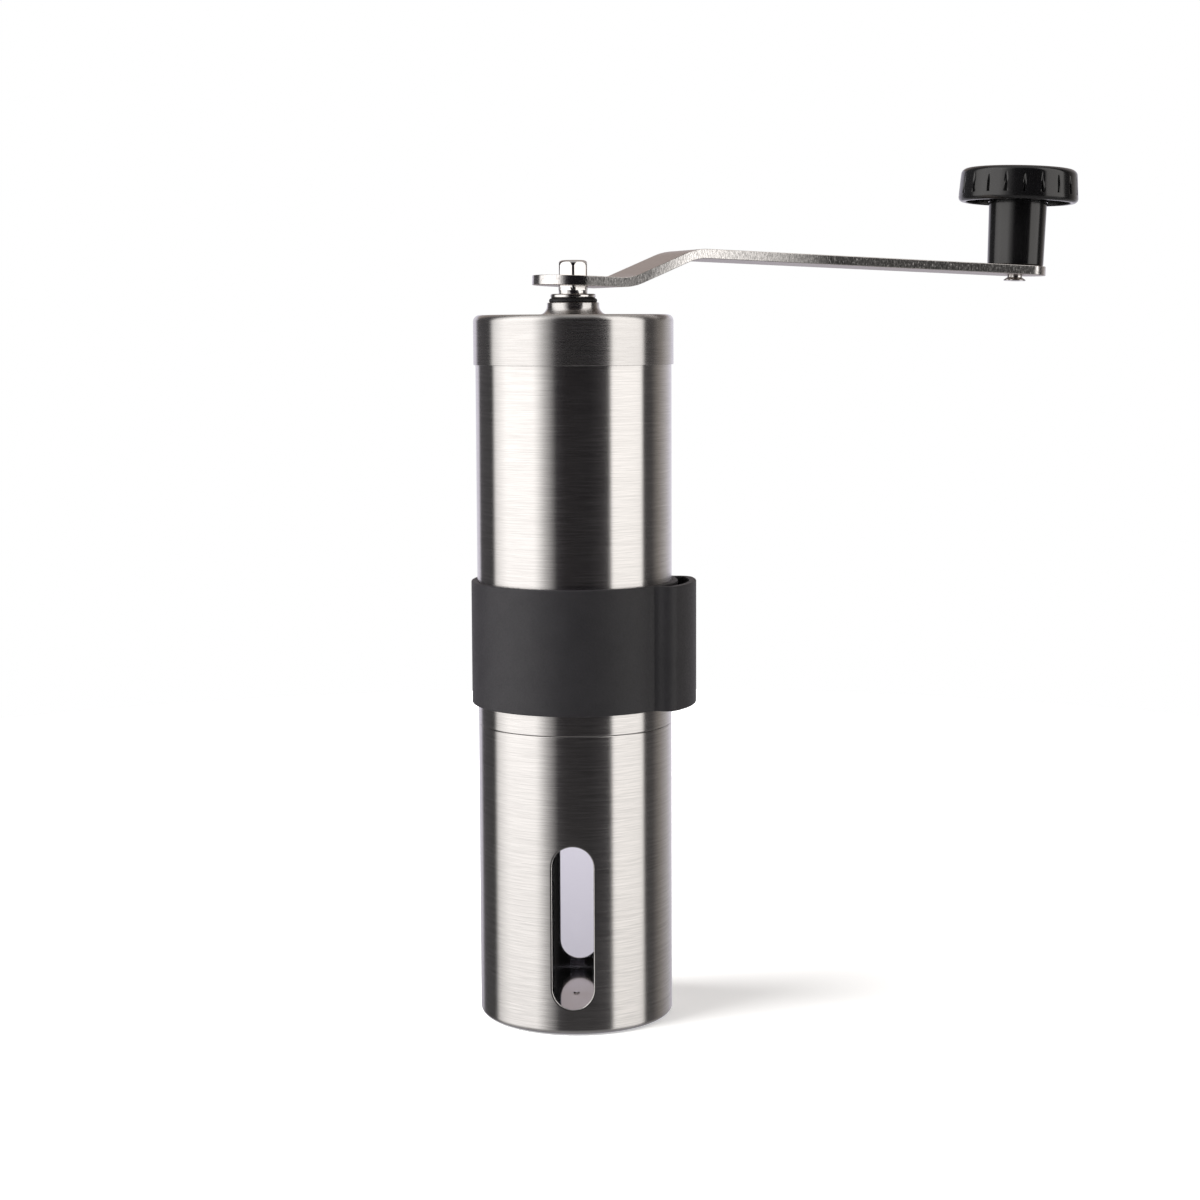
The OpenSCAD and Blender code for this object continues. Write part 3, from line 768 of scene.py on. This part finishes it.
def crank_bar():
    """The flat bar: level strips across its faces, a rounded edge all round, and the hexagon hole."""
    half = bar_outline()
    edge = 0.16 * MM
    last = len(half) - 1
    section = [(edge, ARM_HALF), (edge * 0.3, ARM_HALF - edge * 0.3), (0.0, ARM_HALF - edge)]
    section += [(d, -h) for d, h in reversed(section)]
    loop = [(i, 1) for i in range(last + 1)] + [(i, -1) for i in range(last - 1, 0, -1)]
    verts, faces = [], []
    for i, side in loop:
        x, y = half[i]
        nx, ny = outward(half, i)
        z, angle = bar_middle(x)
        for inset, height in section:
            along = x - nx * inset - height * math.sin(angle)
            verts.append((along, (y - ny * inset) * side, z + height * math.cos(angle)))
    per = len(section)
    count = len(loop)
    for k in range(count):
        m = (k + 1) % count
        for s in range(per - 1):
            faces.append([k * per + s, k * per + s + 1, m * per + s + 1, m * per + s])
    for s in (0, per - 1):
        faces.append([s, per + s, (count - 1) * per + s])
        for i in range(1, last - 1):
            faces.append([i * per + s, (i + 1) * per + s, (count - i - 1) * per + s, (count - i) * per + s])
        faces.append([(last - 1) * per + s, last * per + s, (last + 1) * per + s])
    piece = mesh_object("crank_bar", verts, faces)
    piece.data.transform(KNOB_FRAME @ Matrix.Translation((-ARM_LEN, 0, -ARM_RISE)))
    cut_hexagon(piece)
    return piece


# ---------------------------------------------------------------- the knob

def on_knob(obj):
    """Moves a piece built round the Z axis, with the bar's middle at height 0, onto the knob's axis."""
    obj.data.transform(KNOB_FRAME)
    return obj


def knob_foot():
    """The plain lower part of the knob, a little wider at the top."""
    low = ARM_HALF + 0.1 * MM
    high = ARM_HALF + STEM_H + 2.0 * MM
    edge = 0.4 * MM
    profile = [(2.0 * MM, low + 0.2 * MM), (2.2 * MM, low), (STEM_R - edge, low)]
    profile += arc(STEM_R - edge, low + edge, edge, -90, 0, 5)[1:]
    profile += [(STEM_R + 0.25 * MM, high), (2.0 * MM, high)]
    return on_knob(lathe("knob_foot", profile, 128))


def rivet_pin():
    """The riveted pin: its flared, dimpled foot under the bar, its shank, and its head inside the knob."""
    foot = -ARM_HALF - 1.5 * MM
    head = ARM_HALF + 17.55 * MM
    shank = 1.95 * MM
    soft = 0.1 * MM
    dimple_r, dimple_top = 1.3 * MM, foot + 1.35 * MM
    flare_r, flare_top = 2.9 * MM, foot + 0.22 * MM
    head_r, head_edge, head_low = 3.3 * MM, 0.5 * MM, head - 1.4 * MM
    profile = [(0, dimple_top), (dimple_r - 0.2 * MM, dimple_top), (dimple_r, dimple_top - 0.15 * MM)]
    profile += [(dimple_r, foot + soft), (dimple_r + soft, foot)]
    profile += [(flare_r - soft, foot), (flare_r, foot + soft), (flare_r, flare_top)]
    profile += [(flare_r - soft, flare_top + soft), (shank, foot + 0.9 * MM)]
    profile += [(shank, head_low), (head_r, head_low)]
    profile += arc(head_r, head - head_edge, head_edge, 0, 90, 5) + [(0, head)]
    return on_knob(lathe("rivet_pin", profile, 96))


LIP = 1.2 * MM
CROWN = 1.8 * MM
NOTCH_LOW = 1.95 * MM
NOTCH_HIGH = CAP_H - CROWN - 0.1 * MM
NOTCH_DEEP = 0.75 * MM
NOTCH_STEPS = 24
CAP_STEPS = NOTCHES * NOTCH_STEPS


def cap_radius(h):
    """Outer radius of the cap at height h over its underside, without the notches."""
    if h < LIP:
        return CAP_R - LIP + math.sqrt(max(LIP * LIP - (h - LIP) ** 2, 0))
    return CAP_R - (h - LIP) * 0.075


def notch_depth(h):
    """How deep a notch is cut at height h: deepest at its flat foot, run out to nothing at its tip."""
    if h <= NOTCH_LOW or h >= NOTCH_HIGH:
        return 0.0
    return NOTCH_DEEP * (NOTCH_HIGH - h) / (NOTCH_HIGH - NOTCH_LOW)


def plain_ring(r, h):
    """A ring of the cap as (radius, angle, height) points."""
    return [(r, TAU * i / CAP_STEPS, h) for i in range(CAP_STEPS)]


def notched_ring(h):
    """A ring of the cap's side, pushed in where the notches are."""
    deep = notch_depth(h)
    half = (0.18 * MM + deep * 0.36) / CAP_R
    ring = []
    for i in range(CAP_STEPS):
        off = abs((i % NOTCH_STEPS) / NOTCH_STEPS - 0.5) * TAU / NOTCHES
        cut = deep * max(0.0, 1 - off / half)
        ring.append((cap_radius(h) - cut, TAU * i / CAP_STEPS, h))
    return ring


def cap_under():
    """Rings of the cap's underside, from the stem across the hollow to the lip."""
    roof = 2.4 * MM
    soft = 0.3 * MM
    wall_r = CAP_R - 2.0 * MM
    sleeve_r = STEM_R + 0.5 * MM
    outline = [(6.1 * MM, 0.0), (sleeve_r - 0.05 * MM, 0.1 * MM), (sleeve_r, roof - soft)]
    outline += [(sleeve_r + soft, roof), (wall_r - soft, roof), (wall_r, roof - 0.2 * MM)]
    outline += [(wall_r + 0.1 * MM, 0.2 * MM), (CAP_R - LIP - 0.5 * MM, 0.0)]
    return [plain_ring(r, h) for r, h in outline]


def cap_side():
    """Rings of the rounded lip and of the notched side."""
    heights = [LIP * (1 - math.cos(math.radians(a))) for a in range(0, 91, 9)]
    heights += [NOTCH_LOW, NOTCH_LOW + 0.03 * MM]
    heights += [NOTCH_LOW + (NOTCH_HIGH - NOTCH_LOW) * i / 12 for i in range(1, 13)]
    return [notched_ring(h) for h in heights + [CAP_H - CROWN]]


def cap_crown():
    """Rings of the rounded shoulder and of the slightly domed top."""
    dome = 0.25 * MM
    edge_r = cap_radius(CAP_H - CROWN)
    rings = []
    for t in [math.radians(a) for a in range(10, 91, 10)]:
        height = CAP_H - CROWN + (CROWN - dome) * math.sin(t)
        rings.append(plain_ring(edge_r - CROWN * (1 - math.cos(t)), height))
    for f in (0.75, 0.5, 0.25):
        rings.append(plain_ring((edge_r - CROWN) * f, CAP_H - dome * f * f))
    return rings


def knob_top():
    """The round cap: rounded lip, conical side with wedge-shaped notches, domed top, hollow underside."""
    z0 = ARM_HALF + STEM_H
    rings = cap_under() + cap_side() + cap_crown()
    verts = [(r * math.cos(a), r * math.sin(a), z0 + h) for ring in rings for r, a, h in ring]
    last = (len(rings) - 1) * CAP_STEPS
    faces = [list(range(CAP_STEPS)), list(range(last, last + CAP_STEPS))]
    for k in range(0, last, CAP_STEPS):
        for i in range(CAP_STEPS):
            j = (i + 1) % CAP_STEPS
            faces.append([k + i, k + j, k + CAP_STEPS + j, k + CAP_STEPS + i])
    return on_knob(mesh_object("knob_top", verts, faces, 30))


# ---------------------------------------------------------------- carried-over CAD nodes

def keep_node(name, made, edge):
    """A CAD node that stays: welded, its sharp edges rounded a little, and given its material."""
    sharp = math.radians(40)
    obj = frame["nodes"][name]
    obj.data.materials.clear()
    obj.data.materials.append(made)
    obj.data.shade_smooth()
    weld = obj.modifiers.new("weld", "WELD")
    weld.merge_threshold = 1e-6
    if edge:
        bevel = obj.modifiers.new("edges", "BEVEL")
        bevel.width = edge
        bevel.segments = 2
        bevel.limit_method = "ANGLE"
        bevel.angle_limit = sharp
        bevel.harden_normals = True
    weighted = obj.modifiers.new("weighted", "WEIGHTED_NORMAL")
    weighted.keep_sharp = True
    return obj


# ---------------------------------------------------------------- the studio

CAMERA_SIDE = math.radians(2.0)
CAMERA_FAR = 0.57056
CAMERA_UP = 0.17001
CAMERA_YAW = CAMERA_SIDE - math.radians(0.103)
CAMERA_PITCH = math.radians(5.84)
CAMERA_ROLL = math.radians(-0.286)


def studio_camera():
    """The camera of the photograph: a little above the lid and almost level."""
    data = bpy.data.cameras.new("camera")
    data.lens = 69.6
    data.sensor_width = 36
    data.shift_x = 0.0178
    data.shift_y = -0.0282
    camera = bpy.data.objects.new("camera", data)
    bpy.context.scene.collection.objects.link(camera)
    x, y = CAMERA_FAR * math.sin(CAMERA_SIDE), -CAMERA_FAR * math.cos(CAMERA_SIDE)
    camera.location = (x, y, CAMERA_UP)
    aim = Matrix.Rotation(CAMERA_YAW, 3, "Z") @ Matrix.Rotation(math.pi / 2 - CAMERA_PITCH, 3, "X")
    camera.rotation_euler = (aim @ Matrix.Rotation(CAMERA_ROLL, 3, "Z")).to_euler()
    bpy.context.scene.camera = camera


BOX_LEFT = (1.9, 1.9 * 0.975, 1.9 * 0.955)
BOX_RIGHT = (1.75, 1.75 * 0.97, 1.75 * 0.94)


def dimmed(colour, factor):
    return tuple(c * factor for c in colour)


# The studio all round, as (degrees from the camera side towards +X, colour).
# It runs from the pale back over the left box, the dark front and the right box to the back again.
ROUND_LOW = [
    (-180, (0.80, 0.77, 0.86)),
    (-149, (0.78, 0.75, 0.84)),
    (-142, (0.10, 0.095, 0.10)),
    (-109, (0.07, 0.068, 0.07)),
    (-103, dimmed(BOX_LEFT, 0.7)),
    (-84, BOX_LEFT),
    (-46, BOX_LEFT),
    (-32, (0.75, 0.73, 0.72)),
    (-19, (0.035, 0.031, 0.036)),
    (-8, (0.010, 0.008, 0.010)),
    (20, (0.008, 0.007, 0.009)),
    (44, (0.04, 0.036, 0.04)),
    (48, BOX_RIGHT),
    (88, dimmed(BOX_RIGHT, 0.95)),
    (92, (0.08, 0.075, 0.075)),
    (106, (0.08, 0.075, 0.075)),
    (122, (0.34, 0.31, 0.285)),
    (140, (0.60, 0.57, 0.57)),
    (157, (0.80, 0.77, 0.84)),
    (180, (0.80, 0.77, 0.86)),
]
BACK_HIGH = (0.43, 0.37, 0.335)
CEILING = (0.55, 0.54, 0.53)
TABLE = (0.62, 0.60, 0.58)
GROUND = (0.30, 0.29, 0.29)

# Heights of the view direction, -1 straight down and 1 straight up, between which one part of the
# studio goes over to the next.
TO_BACK_HIGH = (0.22, 0.29)
TO_CEILING = (0.82, 0.95)
TO_NEAR_FLOOR = (-0.20, -0.30)
TO_GROUND = (-0.45, -0.65)


def all_round(n, place, change):
    """The studio's colours round the object, each stop changed by a function of its angle and colour."""
    return n.ramp(place, [((a + 180) / 360, change(a, colour)) for a, colour in ROUND_LOW])


def studio_light():
    """Two tall soft boxes beside a dark camera side, a pale back, and plain white to the camera itself."""
    world = bpy.data.worlds.new("studio")
    bpy.context.scene.world = world
    world.use_nodes = True
    tree = world.node_tree
    tree.nodes.clear()
    n = Nodes(tree)
    way = n.add("ShaderNodeTexCoord").outputs["Generated"]
    xyz = n.add("ShaderNodeSeparateXYZ", {0: way}).outputs
    turn = n.math("ARCTAN2", xyz[0], n.math("MULTIPLY", xyz[1], -1.0))
    place = n.span(turn, -math.pi, math.pi, 0.0, 1.0)
    around_low = all_round(n, place, lambda a, colour: colour)
    around_high = all_round(n, place, lambda a, colour: BACK_HIGH if abs(a) > 145 else colour)
    near_floor = n.blend(0.06, all_round(n, place, lambda a, colour: dimmed(colour, 0.55)), TABLE)
    room = n.blend(n.span(xyz[2], *TO_BACK_HIGH, 0.0, 1.0), around_low, around_high)
    room = n.blend(n.span(xyz[2], *TO_CEILING, 0.0, 1.0), room, CEILING)
    room = n.blend(n.span(xyz[2], *TO_NEAR_FLOOR, 0.0, 1.0), room, near_floor)
    room = n.blend(n.span(xyz[2], *TO_GROUND, 0.0, 1.0), room, GROUND)
    straight = n.add("ShaderNodeLightPath").outputs["Is Camera Ray"]
    seen = n.blend(straight, room, (1.0, 1.0, 1.0))
    light = n.add("ShaderNodeBackground", {"Color": seen, "Strength": 1.0}).outputs[0]
    n.add("ShaderNodeOutputWorld", {"Surface": light})


FLOOR_R = 0.46
FLOOR_Y = 0.06
FLOOR_GAP = 0.2 * MM


def floor_paper():
    """Pale paper that brightens to plain white towards its rim, so that no edge shows."""
    made, n, shader = material("paper")
    fibre = n.noise(n.stretched(700, 700, 700), 1.0, 3.0)
    glow = n.span(n.radius(), 0.10, FLOOR_R * 0.8, 0.33, 0.95)
    tint = n.ramp(fibre, [(0.3, (0.80, 0.80, 0.795)), (0.7, (0.84, 0.84, 0.835))])
    put(n, shader, Base_Color=tint, Roughness=0.8,
        Emission_Color=(1, 1, 1, 1), Emission_Strength=glow)
    return made


def studio_floor():
    """A round sheet of pale paper, kept out of the reflections, which show the studio instead."""
    steps = 128
    verts = [(0, FLOOR_Y, -FLOOR_GAP)]
    for i in range(steps):
        a = TAU * i / steps
        verts.append((FLOOR_R * math.cos(a), FLOOR_Y + FLOOR_R * math.sin(a), -FLOOR_GAP))
    faces = [[0, i + 1, (i + 1) % steps + 1] for i in range(steps)]
    floor = mesh_object("floor", verts, faces)
    floor.data.materials.append(floor_paper())
    floor.visible_glossy = False
    floor.visible_transmission = False


LAMP_PLACE = Vector((-0.70, -0.22, 0.80))
LAMP_AIM = Vector((0, 0, 0.05))


def key_light():
    """One soft lamp from the upper left, for the soft shadow to the right of the foot."""
    data = bpy.data.lights.new("key", "AREA")
    data.shape = "DISK"
    data.size = 0.85
    data.energy = 23.0
    lamp = bpy.data.objects.new("key", data)
    bpy.context.scene.collection.objects.link(lamp)
    lamp.location = LAMP_PLACE
    lamp.rotation_euler = (LAMP_AIM - LAMP_PLACE).to_track_quat("-Z", "Y").to_euler()
    lamp.visible_glossy = False


# ---------------------------------------------------------------- putting it together

bpy.context.scene.view_settings.view_transform = "Standard"
studio_camera()
studio_light()
studio_floor()
key_light()

body_steel = brushed_steel("body_steel")
lid_steel = brushed_steel("lid_steel", 0.60, 0.26, False)
inner_steel = brushed_steel("inner_steel", 0.55, 0.28)
bright_steel = polished_steel("bright_steel")
small_steel = polished_steel("small_steel", 0.50, 0.24)
bar = bar_steel("bar_steel")
rubber = soft_rubber("band_rubber")
seal = soft_rubber("seal_rubber", 0.008)
knob_black = gloss_plastic("knob_plastic")
black = matt_plastic("black_plastic")
nylon = matt_plastic("nylon", (0.62, 0.60, 0.54), 0.40)
ceramic = fired_ceramic("ceramic")
brass = turned_brass("brass")
clear = clear_plastic("clear_plastic")

dress(cup_wall(), body_steel, "steel_body", "cup", "cup_shell")
dress(clear_sleeve(), clear, "clear_liner", "cup", "window_liner")
dress(tube_skin(), body_steel, "steel_body", "grinder", "hopper_tube")
dress(lid_skin(), lid_steel, "steel_body", "lid", "hopper_lid")
dress(band_piece(), rubber, "band_rubber", "grinder", "grip_band")
dress(knob_foot(), knob_black, "knob_plastic", "knob", "knob_stem")
dress(knob_top(), knob_black, "knob_plastic", "knob", "knob_cap")
dress(rivet_pin(), bright_steel, "polished_steel", "crank", "knob_pin")
dress(crank_bar(), bar, "arm_steel", "crank", "crank_arm")

# CAD nodes that stay, with the width of their broken edges in millimetres.
KEPT_NODES = {
    "joint_collar": (inner_steel, 0.12),
    "upper_bracket": (black, 0.3),
    "upper_bushing": (nylon, 0.2),
    "burr_housing": (black, 0.25),
    "lower_bushing": (nylon, 0.2),
    "outer_burr": (ceramic, 0.15),
    "burr_retainer": (inner_steel, 0.15),
    "retainer_screws": (small_steel, 0),
    "drive_shaft": (bright_steel, 0.12),
    "shaft_o_ring": (seal, 0),
    "thrust_washer": (small_steel, 0.08),
    "retaining_clip": (small_steel, 0.08),
    "spring_washer": (small_steel, 0.08),
    "burr_spring": (small_steel, 0),
    "inner_burr": (ceramic, 0.12),
    "burr_carrier": (black, 0.15),
    "adjust_dial": (black, 0.2),
    "dial_insert": (brass, 0.12),
}
for node, (finish, edge_mm) in KEPT_NODES.items():
    keep_node(node, finish, edge_mm * MM)
